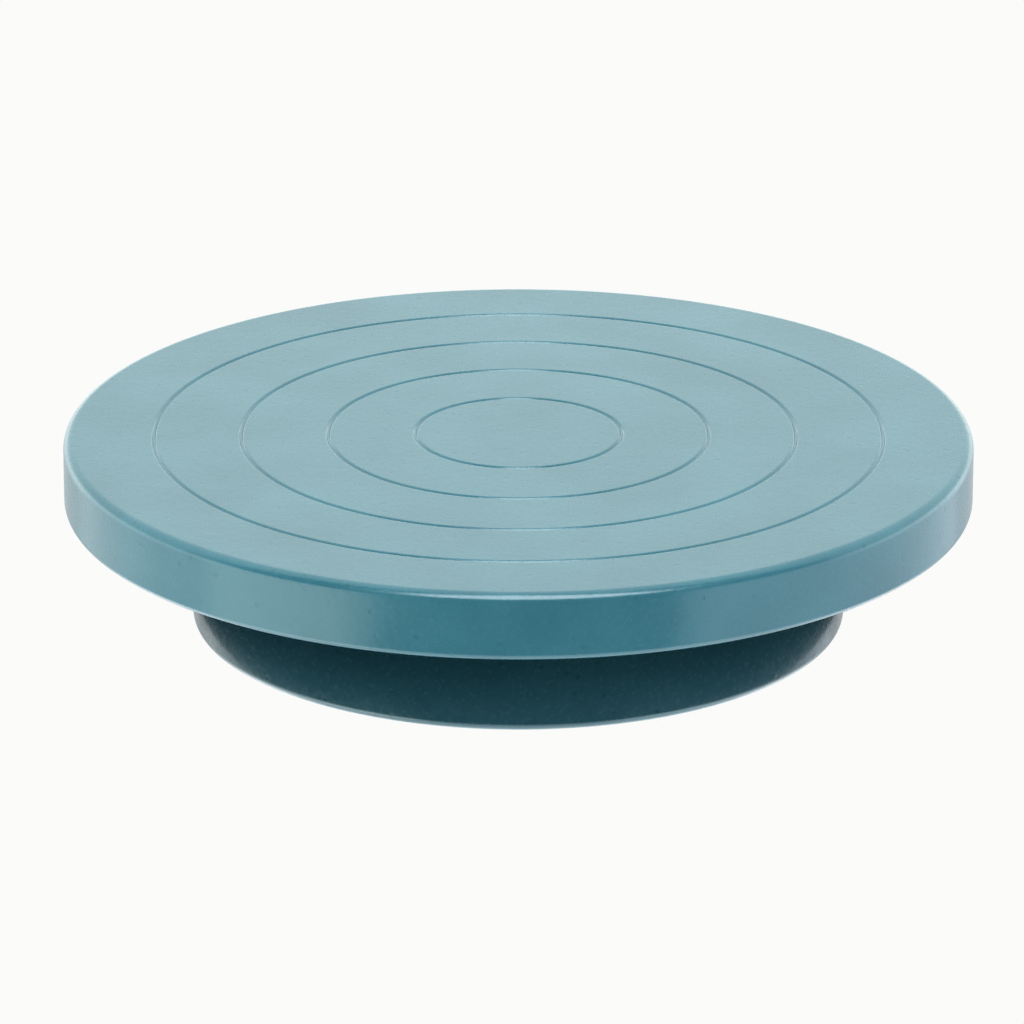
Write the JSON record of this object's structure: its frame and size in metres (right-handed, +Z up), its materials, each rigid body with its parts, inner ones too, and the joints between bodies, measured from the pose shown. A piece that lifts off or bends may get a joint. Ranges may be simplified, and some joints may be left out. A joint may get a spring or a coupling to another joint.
{
  "type": "pottery banding wheel",
  "caption": "Low hand-turned banding wheel: a grooved round head in teal enamel that spins on a sealed ball bearing in a smaller round base.",
  "frame": {"origin": "on the turning axis, at the surface that the feet stand on", "axes": "+Z up along the turning axis, out of the head; X and Y level, with the feet on the diagonals"},
  "size_m": [0.225, 0.225, 0.048],
  "materials": {
    "hammered_enamel": "teal hammered enamel on cast iron, satin gloss with a faint pearl",
    "machined_steel": "turned steel, fine turning marks",
    "bearing_steel": "ground and polished bearing steel",
    "zinc_plated_steel": "bright zinc plate",
    "spring_steel": "phosphated spring steel, dark grey",
    "black_rubber": "matt black moulded rubber",
    "cage_nylon": "natural glass-filled nylon"
  },
  "bodies": {
    "base": {"base": "hammered_enamel", "rubber_foot_1": "black_rubber", "rubber_foot_2": "black_rubber", "rubber_foot_3": "black_rubber", "rubber_foot_4": "black_rubber", "retaining_plate": "zinc_plated_steel", "plate_screw_1": "zinc_plated_steel", "plate_screw_2": "zinc_plated_steel", "plate_screw_3": "zinc_plated_steel", "bearing_outer_ring": "bearing_steel", "bearing_seal_upper": "black_rubber", "bearing_seal_lower": "black_rubber"},
    "wheel": {"wheel_head": "hammered_enamel", "spindle": "machined_steel", "flange_screw_1": "zinc_plated_steel", "flange_screw_2": "zinc_plated_steel", "flange_screw_3": "zinc_plated_steel", "flange_screw_4": "zinc_plated_steel", "bearing_inner_ring": "bearing_steel", "spindle_washer": "zinc_plated_steel", "spindle_circlip": "spring_steel"},
    "cage": {"bearing_cage": "cage_nylon"},
    "ball_1": {"bearing_ball_1": "bearing_steel"},
    "ball_2": {"bearing_ball_2": "bearing_steel"},
    "ball_3": {"bearing_ball_3": "bearing_steel"},
    "ball_4": {"bearing_ball_4": "bearing_steel"},
    "ball_5": {"bearing_ball_5": "bearing_steel"},
    "ball_6": {"bearing_ball_6": "bearing_steel"},
    "ball_7": {"bearing_ball_7": "bearing_steel"},
    "ball_8": {"bearing_ball_8": "bearing_steel"}
  },
  "joints": [
    {"name": "head_spin", "type": "hinge", "parent": "base", "child": "wheel", "pos_m": [0, 0, 0.02], "axis": [0, 0, 1], "continuous": true},
    {"name": "cage_orbit", "type": "hinge", "parent": "base", "child": "cage", "pos_m": [0, 0, 0.02], "axis": [0, 0, 1], "continuous": true},
    {"name": "ball_1_spin", "type": "hinge", "parent": "cage", "child": "ball_1", "pos_m": [0.01425, 0, 0.02], "axis": [0, 0, 1], "continuous": true},
    {"name": "ball_2_spin", "type": "hinge", "parent": "cage", "child": "ball_2", "pos_m": [0.01008, 0.01008, 0.02], "axis": [0, 0, 1], "continuous": true},
    {"name": "ball_3_spin", "type": "hinge", "parent": "cage", "child": "ball_3", "pos_m": [0, 0.01425, 0.02], "axis": [0, 0, 1], "continuous": true},
    {"name": "ball_4_spin", "type": "hinge", "parent": "cage", "child": "ball_4", "pos_m": [-0.01008, 0.01008, 0.02], "axis": [0, 0, 1], "continuous": true},
    {"name": "ball_5_spin", "type": "hinge", "parent": "cage", "child": "ball_5", "pos_m": [-0.01425, 0, 0.02], "axis": [0, 0, 1], "continuous": true},
    {"name": "ball_6_spin", "type": "hinge", "parent": "cage", "child": "ball_6", "pos_m": [-0.01008, -0.01008, 0.02], "axis": [0, 0, 1], "continuous": true},
    {"name": "ball_7_spin", "type": "hinge", "parent": "cage", "child": "ball_7", "pos_m": [0, -0.01425, 0.02], "axis": [0, 0, 1], "continuous": true},
    {"name": "ball_8_spin", "type": "hinge", "parent": "cage", "child": "ball_8", "pos_m": [0.01008, -0.01008, 0.02], "axis": [0, 0, 1], "continuous": true}
  ],
  "couplings": [
    {"joint": "cage_orbit", "follows": "head_spin", "ratio": 0.38158},
    {"joint": "ball_1_spin", "follows": "head_spin", "ratio": -1.9927},
    {"joint": "ball_2_spin", "follows": "head_spin", "ratio": -1.9927},
    {"joint": "ball_3_spin", "follows": "head_spin", "ratio": -1.9927},
    {"joint": "ball_4_spin", "follows": "head_spin", "ratio": -1.9927},
    {"joint": "ball_5_spin", "follows": "head_spin", "ratio": -1.9927},
    {"joint": "ball_6_spin", "follows": "head_spin", "ratio": -1.9927},
    {"joint": "ball_7_spin", "follows": "head_spin", "ratio": -1.9927},
    {"joint": "ball_8_spin", "follows": "head_spin", "ratio": -1.9927}
  ]
}
